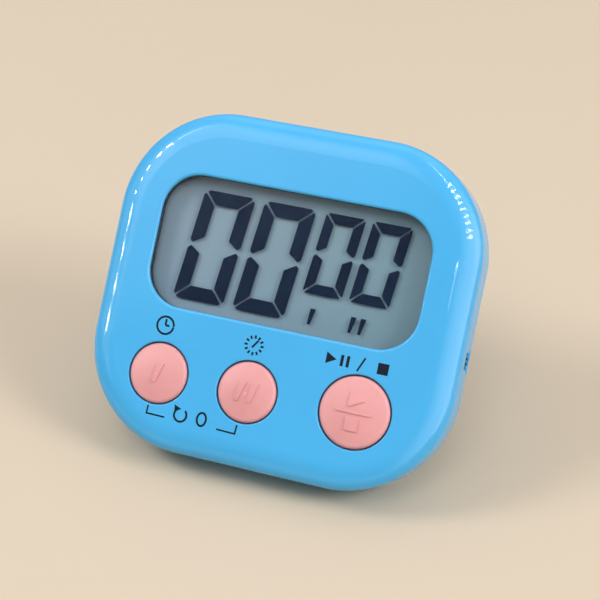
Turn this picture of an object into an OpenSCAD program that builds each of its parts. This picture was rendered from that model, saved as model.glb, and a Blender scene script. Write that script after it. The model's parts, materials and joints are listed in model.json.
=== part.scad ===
// Digital kitchen timer: two-part case, display, three buttons, slide switch,
// fold-out stand, battery door and everything inside.
//
// Every part is drawn in the plan of the timer's face: x to the right, y up the face
// and z from the front plane into the body. place() then leans the timer back and
// stands it on its rear bottom edge and its open stand, centred over the origin.

/* [Case] */
// Width of the case
case_w = 75; // [74:0.5:80]
// Height of the case, measured along its face
case_h = 69; // [68.5:0.5:74]
// Depth of the case from its front plane to its back
case_d = 16; // [16:0.1:17]
// Radius of the case's four corners
corner_r = 21.8; // [20.5:0.1:22]
// Radius of the front edge where it turns into the side
front_edge = 2.6; // [2.4:0.1:2.8]
// Radius of the gentle arc by which the face runs into that edge
face_edge = 9; // [8:0.5:10]
// Radius of the round edge around the back
rear_edge = 6.5; // [5.5:0.1:6.5]
// Depth at which the front shell meets the rear cover
parting_z = 10.2; // [10.1:0.1:10.4]
// Wall thickness of the front shell
wall = 2; // [1.8:0.1:2]
// Wall thickness of the rear cover
rear_wall = 1.6; // [1.5:0.1:1.7]
// Angle by which the timer leans back from upright
lean = 38.5; // [34:0.5:42]

/* [Window] */
// Width of the window opening
window_w = 56; // [50:0.1:56.2]
// Height of the window opening
window_h = 26.9; // [26:0.1:27]
// Corner radius of the window opening
window_r = 7.7; // [6:0.1:9]
// Height of the window's centre above the case's centre
window_y = 7.5; // [7.4:0.1:7.6]
// Radius of the round edge of the window
window_edge = 0.5; // [0.3:0.1:0.6]

/* [Display] */
// Height of the two minute digits
minute_digit_h = 22.4; // [20:0.1:23]
// Width of a minute digit
minute_digit_w = 10.8; // [9:0.1:11]
// Stroke of a minute digit
minute_stroke = 2.8; // [2:0.1:3]
// Height of the two second digits
second_digit_h = 16.4; // [14:0.1:17]
// Width of a second digit
second_digit_w = 8.15; // [7:0.05:8.4]
// Stroke of a second digit
second_stroke = 2.05; // [1.5:0.05:2.2]
// Slant of the digits from upright
slant = 6; // [0:0.5:8]
// Half of the gap between two segments, measured across a digit
segment_gap = 0.27; // [0.15:0.01:0.35]

/* [Buttons] */
// Radius of the hole for the minute and second buttons
small_hole_r = 6.3; // [6:0.05:6.5]
// Radius of the hole for the start and stop button
large_hole_r = 7.35; // [7:0.01:7.6]
// Gap around a button in its hole
button_gap = 0.31; // [0.3:0.01:0.45]
// Height of a button's rim above the face
button_rim = 0.35; // [0.2:0.05:0.6]
// Extra height of a button's crown above its rim
button_crown = 0.6; // [0.3:0.05:0.9]
// Radius of the round edge of a button
button_edge = 0.85; // [0.5:0.05:1]
// Travel of a button
button_travel = 0.8; // [0.5:0.05:0.8]

/* [Slide switch] */
// Height of the switch below the case's centre
switch_y = -4.7; // [-5:0.1:-4.5]
// Depth of the switch's centre behind the front plane
switch_z = 7.8; // [7.8:0.1:7.9]
// Travel of the knob to each side of its middle position
switch_travel = 0.8; // [0.6:0.1:1]

/* [Stand] */
// Width of the stand
stand_w = 35.2; // [30:0.1:36]
// Thickness of the stand
stand_t = 1.8; // [1.6:0.1:1.8]
// Angle between the open stand and the back of the case
stand_open = 60; // [56:1:64]
// Height of the stand's hinge above the case's centre
stand_hinge_y = 2.8; // [2.4:0.1:3]

/* [Battery] */
// Diameter of the cell
cell_d = 10.5; // [10.2:0.1:10.5]
// Length of the cell with its cap
cell_l = 44.5; // [43.5:0.1:44.6]
// Height of the cell's axis above the case's centre
cell_y = 14; // [13.9:0.1:14.1]
// Width of the battery door
door_w = 53.8; // [53:0.1:54]

/* [Hanging and magnets] */
// Radius of the hanging hole
hanging_r = 2; // [1.6:0.1:2]
// Radius of a magnet
magnet_r = 5; // [4:0.1:5.2]
// Thickness of a magnet
magnet_t = 2.5; // [2:0.1:2.5]

/* [Hidden] */
$fn = 96;

shell_blue = [0.34, 0.71, 0.92];
cap_pink = [0.93, 0.63, 0.64];
jet = [0.04, 0.04, 0.05];
steel = [0.72, 0.72, 0.74];
board_green = [0.10, 0.36, 0.20];

// Where the buttons, screws and magnets sit on the face
minute_at = [-21.4, -19.5];
second_at = [-2.6, -19.4];
start_at = [19.4, -18.7];
case_screw_at = [[-19, 24.8], [19, 24.8], [-20.5, -29.2], [20.5, -29.2]];
board_screw_at = [[-27.5, -12.2], [28, -12], [-12, -25.4], [8.2, -25.2]];
magnet_at = [[-25, -10], [25, -10]];
hanging_at = [0, 26];
buzzer_at = [0, -13.5];
// Small gap between two pieces that are fitted without play
fit = 0.1;
// How far a cutter reaches past a face, and how far a boss or rib is rooted in its wall
cut = 1;
root = 0.4;

// Depths of the layers behind the window, each measured at its front face
lip_z = 0.7;                         // back of the shell's lip around the window
lip_step = 1.3;                      // how far the window frame reaches under that lip
polarizer_z = 2.35;
front_glass_z = polarizer_z + 0.2;
liquid_z = front_glass_z + 0.55;
rear_glass_z = liquid_z + 0.06;
reflector_z = rear_glass_z + 0.55;
reflector_back = reflector_z + 0.2;
// Outline of the display: half width, bottom and top of each glass
glass_x = 30;
glass_top = 21.6;
front_glass_bottom = -9.3;
rear_glass_bottom = -6.9;

// Board, keys and switch
board_z = 4.6;
board_t = 1;
board_back = board_z + board_t;
flange_z = wall + 0.05;
flange_t = 0.7;
pill_r = 2.4;
pill_z = flange_z + flange_t;
pill_t = board_z - pill_z - button_travel - fit;
mat_t = 0.7;
switch_len = 8.4;
switch_deep = 3.6;
switch_x0 = case_w / 2 - 7;          // back of the switch's base
switch_x1 = case_w / 2 - 2.7;        // face of its housing
stem = 1.5;                          // width of the knob's stem, along its travel
stem_z = 1;                          // half of its thickness

// Screws: pilot holes, bosses, clear holes and heads
case_pilot_r = 1.05;
case_boss_r = 2.3;
case_clear_r = 1.15;
case_shank_r = 1;
case_head_r = 2;
case_head_z = 13.4;                  // seat of the head
case_head_t = 1.5;
head_well_r = 2.3;
board_pilot_r = 0.8;
board_boss_r = 2;
board_clear_r = 0.9;
board_shank_r = 0.75;
board_head_r = 1.6;
board_head_t = 0.9;
frame_play = 0.5;                    // room around the display inside its rib
rib_t = 0.6;
rib_back = 4.2;

// Rear cover, buzzer and battery box
boss_top = 12;
floor_z = 12.4;                      // inner side of the floor under the stand
buzzer_seat = 0.7;
box_z = 5;                           // front of the battery box
box_floor = 0.8;
box_wall = 0.8;
cell_z = 9.35;
box_x = 25.5;                        // half the inside length of the battery box
box_y = 5.5;                         // half its inside width
plate_t = 0.4;
cell_x0 = -24.6;                     // tip of the cell's cap

// Battery door: it swings on two moulded pins beside its lower edge
door_t = 1.2;
door_z = case_d - door_t;
door_hinge = [cell_y - 5.8, case_d - 0.9];
door_barrel = 0.7;
door_pin = 0.5;
door_top = cell_y + 6.5;
door_gap = 0.3;

// Stand: it swings on two moulded pins, and its face stops against a slanted wall
stand_hinge = [stand_hinge_y, case_d - 1.3];
stand_barrel = 1;
stand_pin = 0.8;
stand_face = case_d - stand_hinge[1];
pin_play = 0.05;
stop_play = 0.08;

// Where the face starts to bend, how deep the front edge reaches, and its radius inside the shell
edge_turn = 25;                      // angle at which the gentle arc gives way to the tight one
edge_in = front_edge + (face_edge - front_edge) * sin(edge_turn);
edge_deep = face_edge - (face_edge - front_edge) * cos(edge_turn);
inner_edge = 1.6;
parting_edge = 0.25;                 // rounding at the line where shell and cover meet

// The lean, the height of the floor and the shift that centres the box over the origin
rear_r0 = [case_h / 2 - rear_edge, case_d - rear_edge];
front_r0 = [case_h / 2 - front_edge, edge_deep];
function along(p) = p[0] * sin(lean) + p[1] * cos(lean);
function above(p) = p[0] * cos(lean) - p[1] * sin(lean);
lift = rear_edge - above([-rear_r0[0], rear_r0[1]]);
back_y = along(rear_r0) + rear_edge;
front_y = along([-front_r0[0], front_r0[1]]) - front_edge;
shift = -(back_y + front_y) / 2;
// Length of the stand from its hinge: a little more than it takes to reach the floor
stand_l = (lift + above(stand_hinge)) / cos(stand_open - lean) + 0.3;

// ---------------------------------------------------------------- helpers

// Leans a part drawn in the plan of the face back and sets it on the floor
module place() {
    translate([0, shift, lift]) rotate([-lean, 0, 0]) rotate([-90, 0, 0]) mirror([0, 1, 0]) children();
}

// A box that reaches as far to the left of the middle as to the right
module bar(x, y0, y1, z0, z1) {
    translate([-x, y0, z0]) cube([2 * x, y1 - y0, z1 - z0]);
}

// A disc or cylinder at a place on the face, between two depths
module disc(at, r, z0, z1) {
    translate([at[0], at[1], z0]) cylinder(r = r, h = z1 - z0);
}

// Half of a plate's edge, from its inside at x = 0 to its rim at x = r, rounded by a in
// front and by b behind
module edge_profile(r, z0, z1, a, b) {
    difference() {
        translate([0, z0]) square([r, z1 - z0]);
        if (a > 0) translate([r - a, z0 + a]) difference() {
            translate([0, -a - cut]) square([a + cut, a + cut]);
            circle(a);
        }
        if (b > 0) translate([r - b, z1 - b]) difference() {
            square([b + cut, b + cut]);
            circle(b);
        }
    }
}

// Half of the front shell's outer edge: the face bends away on a gentle arc, which meets
// a tighter arc that ends in the side
module front_profile(r, z1) {
    start = r - edge_in;
    square([start, z1]);
    translate([0, edge_deep]) square([r, z1 - edge_deep]);
    translate([r - front_edge, edge_deep]) circle(front_edge);
    far = face_edge + cut;
    intersection() {
        translate([start, face_edge]) circle(face_edge);
        polygon([[start, face_edge], [start, -cut],
            [start + far * sin(edge_turn), face_edge - far * cos(edge_turn)]]);
    }
}

// Half of an opening's edge, which flares out by e where it meets the front plane
module flare_profile(r, z1, e) {
    translate([0, -cut]) square([r, z1 + cut]);
    difference() {
        translate([0, -cut]) square([r + e, e + cut]);
        translate([r + e, e]) circle(e);
    }
}

// Carries an edge profile around a rectangle with round corners, and fills its middle
module swept(w, h, r, z0, z1) {
    for (i = [0 : 3]) {
        across = i % 2 == 0 ? w / 2 - r : h / 2 - r;
        up = i % 2 == 0 ? h / 2 - r : w / 2 - r;
        rotate([0, 0, 90 * i]) translate([across, up, 0]) {
            rotate_extrude(angle = 90) children();
            rotate([90, 0, 0]) linear_extrude(2 * up) children();
        }
    }
    translate([r - w / 2, r - h / 2, z0]) cube([w - 2 * r, h - 2 * r, z1 - z0]);
}

// A flat plate with round corners and sharp edges
module rounded_plate(w, h, r, z0, z1) {
    swept(w, h, r, z0, z1) edge_profile(r, z0, z1, 0, 0);
}

// A round wire along a path; ref is a direction that the path never runs in
function unit(v) = v / norm(v);
function heading(p, i) = unit(p[min(i + 1, len(p) - 1)] - p[max(i - 1, 0)]);
function ring(p, i, r, ref, n) =
    let (t = heading(p, i), u = unit(cross(t, ref)), v = cross(t, u))
    [for (k = [0 : n - 1]) p[i] + r * (cos(360 * k / n) * u + sin(360 * k / n) * v)];
function blend(a, b, c, d, t) =
    0.5 * (2 * b + (c - a) * t + (2 * a - 5 * b + 4 * c - d) * t * t + (3 * b - a - 3 * c + d) * t * t * t);
function smooth_path(p, n) = concat(
    [for (i = [0 : len(p) - 2], k = [0 : n - 1])
        blend(p[max(i - 1, 0)], p[i], p[i + 1], p[min(i + 2, len(p) - 1)], k / n)],
    [p[len(p) - 1]]);
module wire(p, r, ref = [1, 0, 0], n = 8) {
    last = (len(p) - 1) * n;
    polyhedron(
        points = [for (i = [0 : len(p) - 1]) each ring(p, i, r, ref, n)],
        faces = concat(
            [[for (k = [0 : n - 1]) k]],
            [for (i = [0 : len(p) - 2], k = [0 : n - 1])
                [i * n + k, (i + 1) * n + k, (i + 1) * n + (k + 1) % n, i * n + (k + 1) % n]],
            [[for (k = [n - 1 : -1 : 0]) last + k]]));
}

// ---------------------------------------------------------------- front shell

module button_hole(at, r) {
    translate([at[0], at[1], 0]) rotate_extrude() flare_profile(r, wall + cut, 0.25);
}

module switch_opening() {
    dish_r = 9;
    dish_depth = 0.35;
    translate([case_w / 2 + dish_r - dish_depth, switch_y, switch_z - 1.9]) cylinder(r = dish_r, h = 3.8);
    slot = stem / 2 + switch_travel + 0.15;
    translate([case_w / 2 - wall - cut, switch_y - slot, switch_z - stem_z - 0.2])
        cube([wall + 2 * cut, 2 * slot, 2 * stem_z + 0.4]);
}

module front_shell() {
    rib_x = glass_x + frame_play;
    rib_low = front_glass_bottom - 0.2;
    rib_top = glass_top + 0.3;
    color(shell_blue) place() difference() {
        union() {
            difference() {
                swept(case_w, case_h, corner_r, 0, parting_z) intersection() {
                    front_profile(corner_r, parting_z);
                    edge_profile(corner_r, 0, parting_z, 0, parting_edge);
                }
                swept(case_w - 2 * wall, case_h - 2 * wall, corner_r - wall, wall, parting_z + cut)
                    edge_profile(corner_r - wall, wall, parting_z + cut, inner_edge, 0);
            }
            for (p = case_screw_at) disc(p, case_boss_r, wall - root, boss_top);
            for (p = board_screw_at) disc(p, board_boss_r, wall - root, board_z);
            difference() {
                bar(rib_x + rib_t, rib_low - rib_t, rib_top + rib_t, wall - root, rib_back);
                bar(rib_x, rib_low, rib_top, wall - cut, rib_back + cut);
            }
        }
        translate([0, window_y, 0]) {
            swept(window_w, window_h, window_r, -cut, wall + cut)
                flare_profile(window_r, wall + cut, window_edge);
            rounded_plate(window_w + 2 * lip_step, window_h + 2 * lip_step, window_r + lip_step,
                lip_z, wall + cut);
        }
        button_hole(minute_at, small_hole_r);
        button_hole(second_at, small_hole_r);
        button_hole(start_at, large_hole_r);
        switch_opening();
        for (p = case_screw_at) disc(p, case_pilot_r, wall + 1, boss_top + cut);
        for (p = board_screw_at) disc(p, board_pilot_r, wall + 0.4, board_z + cut);
    }
}

// ---------------------------------------------------------------- display

module window_frame() {
    reach = lip_step - fit;
    color(jet) place() difference() {
        union() {
            translate([0, window_y, 0]) rounded_plate(window_w + 2 * reach, window_h + 2 * reach,
                window_r + reach, lip_z + 0.02, wall);
            bar(glass_x + 0.4, front_glass_bottom - 0.1, glass_top + 0.2, wall, polarizer_z);
        }
        translate([0, window_y, 0]) rounded_plate(window_w, window_h, window_r, 0, polarizer_z + cut);
    }
}

module front_polarizer() {
    color([0.46, 0.53, 0.56]) place()
        bar(glass_x - 0.5, rear_glass_bottom, glass_top - 0.4, polarizer_z, front_glass_z);
}

module front_glass() {
    color([0.75, 0.85, 0.85]) place()
        bar(glass_x, front_glass_bottom, glass_top, front_glass_z, liquid_z);
}

module rear_glass() {
    color([0.75, 0.85, 0.85]) place()
        bar(glass_x, rear_glass_bottom, glass_top, rear_glass_z, reflector_z);
}

module reflector_film() {
    color([0.60, 0.66, 0.66]) place()
        bar(glass_x - 0.5, rear_glass_bottom + 0.4, glass_top - 0.4, reflector_z, reflector_back);
}

module glass_seal() {
    color([0.55, 0.60, 0.58]) place() difference() {
        bar(glass_x - 0.2, rear_glass_bottom + 0.2, glass_top - 0.2, liquid_z, rear_glass_z);
        bar(glass_x - 1.1, rear_glass_bottom + 0.9, glass_top - 0.6, liquid_z - cut, rear_glass_z + cut);
    }
}

// A digit 0 of six segments, centred on at; the outer corners are cut off by c
module zero(at, w, h, t, c) {
    x = w / 2;
    y = h / 2;
    e = segment_gap;
    tip = 0.32;
    end_bar = [[-x + (c + e) / 2, y - (c - e) / 2], [-x + c, y], [x - c, y],
        [x - (c + e) / 2, y - (c - e) / 2], [x - t - e, y - t], [-x + t + e, y - t]];
    side_bar = [[-x, y - c], [-x + (c - e) / 2, y - (c + e) / 2], [-x + t, y - t - e], [-x + t, 0.62 * t],
        [-x + 0.22 * t, tip], [-x, tip + 0.19 * t]];
    for (v = [-1, 1]) {
        mark([for (p = end_bar) at + [p[0], v * p[1]]]);
        for (u = [-1, 1]) mark([for (p = side_bar) at + [u * p[0], v * p[1]]]);
    }
}

// One dark mark in the liquid crystal, slanted about the window's centre line
module mark(points) {
    translate([0, window_y, liquid_z]) linear_extrude(rear_glass_z - liquid_z)
        polygon([for (p = points) [p[0] + p[1] * tan(slant), p[1]]]);
}

// A wedge-shaped tick, the common sign for minutes (one) and seconds (two)
module tick(at) {
    mark([at + [-0.55, 1.7], at + [0.55, 1.7], at + [0.2, -1.5], at + [-0.4, -1.5]]);
}

module lcd_segments() {
    top = 11;
    minute_c = top - minute_digit_h / 2;
    second_c = top - second_digit_h / 2;
    color([0.08, 0.11, 0.17]) place() {
        for (x = [-16.4, -3.6]) zero([x, minute_c], minute_digit_w, minute_digit_h, minute_stroke, 1);
        for (x = [8, 17.6]) zero([x, second_c], second_digit_w, second_digit_h, second_stroke, 0.6);
        tick([7.2, -9.9]);
        for (x = [15.6, 17.6]) tick([x, -9.9]);
    }
}

module foam_pads() {
    color([0.15, 0.15, 0.16]) place() for (y = [cell_y - 5.4, cell_y + 4.2])
        bar(24, y, y + 1.2, reflector_back, box_z);
}

module zebra_strip() {
    color([0.88, 0.55, 0.60]) place()
        bar(27, front_glass_bottom + 0.2, rear_glass_bottom - 0.4, liquid_z, board_z);
}

// ---------------------------------------------------------------- circuit board

module circuit_board() {
    color(board_green) place() difference() {
        translate([0, 0, board_z]) linear_extrude(board_t)
            polygon([[-30, -3], [32, -3], [32, -10], [30, -16], [17, -27.5], [-17, -27.5], [-30, -16]]);
        for (p = board_screw_at) disc(p, board_clear_r, board_z - cut, board_back + cut);
        for (i = [-1 : 1])
            disc([switch_x0 + 0.45, switch_y + 2.5 * i], 0.4, board_z - cut, board_back + cut);
    }
}

// A drop of black resin over the bare chip
module controller_blob() {
    r = 12;
    rise = 1.5;
    color(jet) place() intersection() {
        translate([-1, -15, board_back + rise - r]) sphere(r);
        disc([-1, -15], r, board_back, board_back + rise + cut);
    }
}

module watch_crystal() {
    color(steel) place() {
        translate([12, -8, board_back + 1]) rotate([0, 90, 0]) cylinder(r = 1, h = 6);
        for (y = [-0.35, 0.35]) translate([10.2, y - 8 - 0.12, board_back]) cube([1.8, 0.24, 1.1]);
    }
}

module chip_parts() {
    color([0.25, 0.22, 0.2]) place()
        for (p = [[12, -12], [15.5, -12], [19, -12], [14, -20], [14, -22.5], [-20, -22], [-23, -19],
            [3, -23]])
            translate([p[0] - 1, p[1] - 0.6, board_back]) cube([2, 1.2, 0.6]);
}

module driver_transistor() {
    color(jet) place() {
        translate([-15, -9.2, board_back + 0.1]) cube([2.9, 1.4, 1]);
        for (p = [[-14.8, -9.9], [-12.9, -9.9], [-13.8, -7.8]])
            translate([p[0], p[1], board_back]) cube([0.5, 0.7, 0.3]);
    }
}

module boost_coil() {
    color([0.62, 0.36, 0.16]) place() {
        for (z = [0, 3.1]) disc([-21.5, -8.5], 3, board_back + z, board_back + z + 0.7);
        disc([-21.5, -8.5], 2.5, board_back + 0.7, board_back + 3.1);
    }
}

module board_screws() {
    color(steel) place() for (p = board_screw_at) difference() {
        union() {
            disc(p, board_head_r, board_back, board_back + board_head_t);
            disc(p, board_shank_r, wall + 0.6, board_back + 0.1);
        }
        for (a = [0, 90]) translate([p[0], p[1], board_back + 0.5]) rotate(a) bar(1, -0.2, 0.2, 0, cut);
    }
}

// Silicone mat with a raised collar around each key
module key_mat() {
    z0 = board_z - mat_t;
    color([0.80, 0.80, 0.78]) place() difference() {
        union() {
            for (p = [minute_at, second_at, start_at]) {
                disc(p, 5.5, z0, board_z);
                disc(p, 3.9, pill_z + button_travel + fit, z0);
            }
            translate([minute_at[0], -21.6, z0]) cube([start_at[0] - minute_at[0], 4.6, mat_t]);
        }
        for (p = [minute_at, second_at, start_at]) disc(p, pill_r + 0.6, 0, board_z + cut);
    }
}

// ---------------------------------------------------------------- buttons

// Cap with a crowned top, raised marks and a flange behind the shell
module cap(at, hole_r) {
    r = hole_r - button_gap;
    crown_r = r - button_edge;
    ball = (crown_r * crown_r + button_crown * button_crown) / (2 * button_crown);
    relief = 0.25;
    color(cap_pink) place() translate([at[0], at[1], 0]) {
        rotate_extrude() edge_profile(r, -button_rim, flange_z + 0.2, button_edge, 0);
        disc([0, 0], hole_r + 0.45, flange_z, pill_z);
        intersection() {
            translate([0, 0, ball - button_rim - button_crown]) sphere(ball);
            disc([0, 0], crown_r, -button_rim - 2, 0);
        }
        intersection() {
            translate([0, 0, ball - button_rim - button_crown]) sphere(ball + relief);
            translate([0, 0, -3]) linear_extrude(3) children();
        }
    }
}

// A slanted stroke, wide at the top: one marks the minutes, two the seconds
module stroke_mark() {
    polygon([[-0.25, 2.1], [1.15, 2.1], [-0.05, -1.9], [-0.8, -1.9]]);
}

module minute_button() {
    cap(minute_at, small_hole_r) stroke_mark();
}

module second_button() {
    cap(second_at, small_hole_r) for (x = [-1.25, 1.25]) translate([x, 0]) stroke_mark();
}

module start_button() {
    cap(start_at, large_hole_r) {
        polygon([[-1.3, 0.9], [-1.3, 4.1], [1.6, 2.5]]);
        translate([-3.6, -0.2]) square([7.2, 0.4]);
        translate([-1.3, -3.6]) square([2.6, 2.6]);
    }
}

module pill(at) {
    color(jet) place() disc(at, pill_r, pill_z, pill_z + pill_t);
}
module minute_pill() { pill(minute_at); }
module second_pill() { pill(second_at); }
module start_pill() { pill(start_at); }

// ---------------------------------------------------------------- slide switch

module switch_block(x0, x1, y, z) {
    translate([x0, switch_y - y, switch_z - z]) cube([x1 - x0, 2 * y, 2 * z]);
}

module switch_housing() {
    sheet = 0.3;
    color(steel) place() difference() {
        switch_block(switch_x0 + 0.9, switch_x1, switch_len / 2, switch_deep / 2);
        switch_block(switch_x0, switch_x1 - sheet, switch_len / 2 - sheet, switch_deep / 2 - sheet);
        switch_block(switch_x0, switch_x1 + cut, stem / 2 + switch_travel + 0.15, stem_z + 0.15);
    }
}

module switch_base() {
    color([0.45, 0.30, 0.18]) place()
        switch_block(switch_x0, switch_x0 + 0.9, switch_len / 2, switch_deep / 2);
}

module switch_terminals() {
    color(steel) place() for (i = [-1 : 1])
        disc([switch_x0 + 0.45, switch_y + 2.5 * i], 0.3, board_z - 0.4, switch_z - switch_deep / 2);
}

module switch_knob() {
    color([0.12, 0.12, 0.13]) place() {
        switch_block(switch_x0 + 1.1, switch_x1 - 0.5, 1.5, 1.45);
        difference() {
            switch_block(switch_x1 - 0.6, case_w / 2 - 0.05, stem / 2, stem_z);
            switch_block(case_w / 2 - 0.4, case_w / 2, stem / 6, stem_z + cut);
        }
    }
}

// ---------------------------------------------------------------- rear cover

// Pocket for the stand, ended by the slanted wall that stops it
module stand_pocket() {
    reach = stand_face + stop_play;
    top = function (z) stand_hinge[0]
        + (reach - (z - stand_hinge[1]) * cos(stand_open)) / sin(stand_open);
    low = stand_hinge[0] - stand_l - 0.5;
    floor = case_d - stand_t - 0.2;
    deep = stand_hinge[1] - stand_barrel - 0.2;
    half = stand_w / 2 + 0.4;
    translate([-half, 0, 0]) rotate([90, 0, 90]) linear_extrude(2 * half) polygon([
        [low, case_d + cut], [low, floor], [stand_hinge[0] - 1.6, floor], [stand_hinge[0] - 1.6, deep],
        [top(deep), deep], [top(case_d + cut), case_d + cut]]);
    translate([-half - 2.1, stand_hinge[0], stand_hinge[1]]) rotate([0, 90, 0])
        cylinder(r = stand_pin + pin_play, h = 2 * half + 4.2);
    translate([0, low, case_d + 7.5]) sphere(8.7);
}

// Recess for the battery door, with its hinge holes and a dish for a fingernail
module door_recess() {
    half = door_w / 2 + door_gap;
    low = door_hinge[0] - 1.05;
    translate([-half, low, door_z]) cube([2 * half, door_top + door_gap - low, door_t + cut]);
    translate([-half, low, door_z - 0.5]) cube([2 * half, 2, 1]);
    translate([-half - 1.2, door_hinge[0], door_hinge[1]]) rotate([0, 90, 0])
        cylinder(r = door_pin + pin_play, h = 2 * half + 2.4);
    translate([0, door_top + door_gap, case_d + 2.3]) sphere(3.5);
}

module battery_box() {
    difference() {
        bar(box_x + box_wall, cell_y - box_y - box_wall, cell_y + box_y + box_wall,
            box_z, case_d - rear_wall + 0.2);
        bar(box_x, cell_y - box_y, cell_y + box_y, box_z + box_floor, case_d);
        bar(24, cell_y - 4.1, cell_y + 4.1, box_z - cut, case_d);
    }
}

// Solid places inside the rear cover: around the pockets, magnets and screws
module cover_islands() {
    top = case_d;
    bar(20.6, stand_hinge[0] - stand_l - 2, stand_hinge[0] + 3.6, floor_z, top);
    bar(29.3, door_hinge[0] - 2.2, door_top + 1.4, 13.5, top);
    for (p = magnet_at) disc(p, magnet_r + 1, case_d - magnet_t - 1, top);
    for (p = case_screw_at) disc(p, head_well_r + 0.9, boss_top + 0.05, top);
}

module rear_cover() {
    inner_w = case_w - 2 * rear_wall;
    inner_h = case_h - 2 * rear_wall;
    inner_r = corner_r - rear_wall;
    lip = wall + fit;
    color(shell_blue) place() difference() {
        union() {
            difference() {
                swept(case_w, case_h, corner_r, parting_z, case_d)
                    edge_profile(corner_r, parting_z, case_d, parting_edge, rear_edge);
                difference() {
                    swept(inner_w, inner_h, inner_r, parting_z - cut, case_d - rear_wall)
                        edge_profile(inner_r, parting_z - cut, case_d - rear_wall,
                            0, rear_edge - rear_wall);
                    cover_islands();
                }
            }
            difference() {
                union() {
                    rounded_plate(case_w - 2 * lip, case_h - 2 * lip, corner_r - lip,
                        parting_z - 0.8, parting_z + 0.2);
                    rounded_plate(inner_w + 0.4, inner_h + 0.4, inner_r + 0.2,
                        parting_z, parting_z + 0.8);
                }
                rounded_plate(case_w - 2 * lip - 2, case_h - 2 * lip - 2, corner_r - lip - 1,
                    parting_z - 0.8 - cut, parting_z + 0.8 + cut);
                for (p = case_screw_at) disc(p, 2.5, parting_z - 0.8 - cut, boss_top);
                switch_block(switch_x0, case_w / 2 - lip + 0.01, switch_len / 2 + 0.5, switch_deep);
            }
            battery_box();
            difference() {
                disc(buzzer_at, 10.2, floor_z - buzzer_seat, floor_z + 0.2);
                disc(buzzer_at, 9, floor_z - buzzer_seat - cut, floor_z + cut);
            }
        }
        bar(box_x, cell_y - box_y, cell_y + box_y, box_z + box_floor, case_d + cut);
        for (x = [-1, 1]) translate([x * (box_x - 0.2) - 0.4, cell_y - box_y - box_wall - cut, 8.3])
            cube([0.8, box_wall + 2 * cut, 2.4]);
        door_recess();
        stand_pocket();
        for (p = magnet_at) disc(p, magnet_r + 0.05, case_d - magnet_t, case_d + cut);
        for (p = case_screw_at) {
            disc(p, case_clear_r, boss_top, case_d + cut);
            disc(p, head_well_r, case_head_z, case_d + cut);
        }
        disc(hanging_at, hanging_r, case_d - rear_wall - cut, case_d + cut);
        disc(buzzer_at, 0.75, floor_z - cut, case_d);
        for (a = [0 : 60 : 300]) rotate_about(buzzer_at, a)
            disc(buzzer_at + [4, 0], 0.75, floor_z - cut, case_d);
    }
}

module rotate_about(at, a) {
    translate([at[0], at[1], 0]) rotate(a) translate([-at[0], -at[1], 0]) children();
}

module case_screws() {
    color(steel) place() for (p = case_screw_at) difference() {
        union() {
            disc(p, case_head_r, case_head_z, case_head_z + case_head_t);
            disc(p, case_shank_r, 5, case_head_z + 0.1);
        }
        for (a = [0, 90]) translate([p[0], p[1], case_head_z + 0.8]) rotate(a)
            bar(1.3, -0.25, 0.25, 0, cut);
    }
}

module magnets() {
    color([0.22, 0.22, 0.24]) place()
        for (p = magnet_at) disc(p, magnet_r, case_d - magnet_t, case_d);
}

// ---------------------------------------------------------------- buzzer and wires

module buzzer_disc() {
    color([0.80, 0.64, 0.28]) place()
        disc(buzzer_at, 10, floor_z - buzzer_seat - 0.25, floor_z - buzzer_seat);
}

module buzzer_ceramic() {
    color([0.86, 0.86, 0.84]) place()
        disc(buzzer_at, 7, floor_z - buzzer_seat - 0.45, floor_z - buzzer_seat - 0.25);
}

// Routes of the wires, chosen by hand; the first point is on the board
wire_r = 0.45;
buzzer_route = [[8, -7.5, 5.65], [8, -7.5, 7], [7.4, -8.4, 8.6], [5.6, -10.6, 9.7],
    [4, -12.5, 10.2], [4, -12.8, 10.9]];
ground_route = [[5.5, -7, 5.65], [5.5, -7, 7], [3.4, -6.2, 8.8], [0.6, -5.6, 9.8],
    [-0.5, -5.3, 10.7], [-0.5, -5.2, 11.3]];
plus_route = [[-26, -6, 5.65], [-26, -6, 7.2], [-26, -4, 8.4], [-25.6, 0, 9],
    [-25.3, 3.4, 9.4], [-25.2, 6.45, 9.5]];
minus_route = [[24, -8.5, 5.65], [24, -8.5, 7.2], [24.2, -6, 8.6], [24.8, -1, 9],
    [25.2, 3.4, 9.4], [25.2, 6.45, 9.5]];

module buzzer_wires() {
    place() {
        color("firebrick") wire(smooth_path(buzzer_route, 3), wire_r, [1, 0, 0]);
        color("black") wire(smooth_path(ground_route, 3), wire_r, [0, 1, 0.2]);
    }
}

module battery_wires() {
    place() {
        color("firebrick") wire(smooth_path(plus_route, 3), wire_r, [1, 0, 0]);
        color("black") wire(smooth_path(minus_route, 3), wire_r, [1, 0, 0]);
    }
}

// ---------------------------------------------------------------- battery

module along_x(x, r, l) {
    translate([x, cell_y, cell_z]) rotate([0, 90, 0]) cylinder(r = r, h = l);
}

module battery_can() {
    color([0.20, 0.22, 0.26]) place() along_x(cell_x0 + 1.2, cell_d / 2, cell_l - 1.2);
}

module battery_cap() {
    color(steel) place() {
        along_x(cell_x0, 1.9, 0.9);
        along_x(cell_x0 + 0.9, 4, 0.3);
    }
}

// Sheet-metal contact with a solder tail that leaves through the box's lower wall
module contact_plate(x) {
    color(steel) place() {
        translate([x, cell_y - 5, cell_z - 3]) cube([plate_t, 10, 7]);
        translate([x, cell_y - box_y - 2, 8.5]) cube([plate_t, box_y - 2.5, 2]);
    }
}
module flat_contact() { contact_plate(-box_x + 0.1); }
module spring_plate() { contact_plate(box_x - 0.1 - plate_t); }

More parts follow.
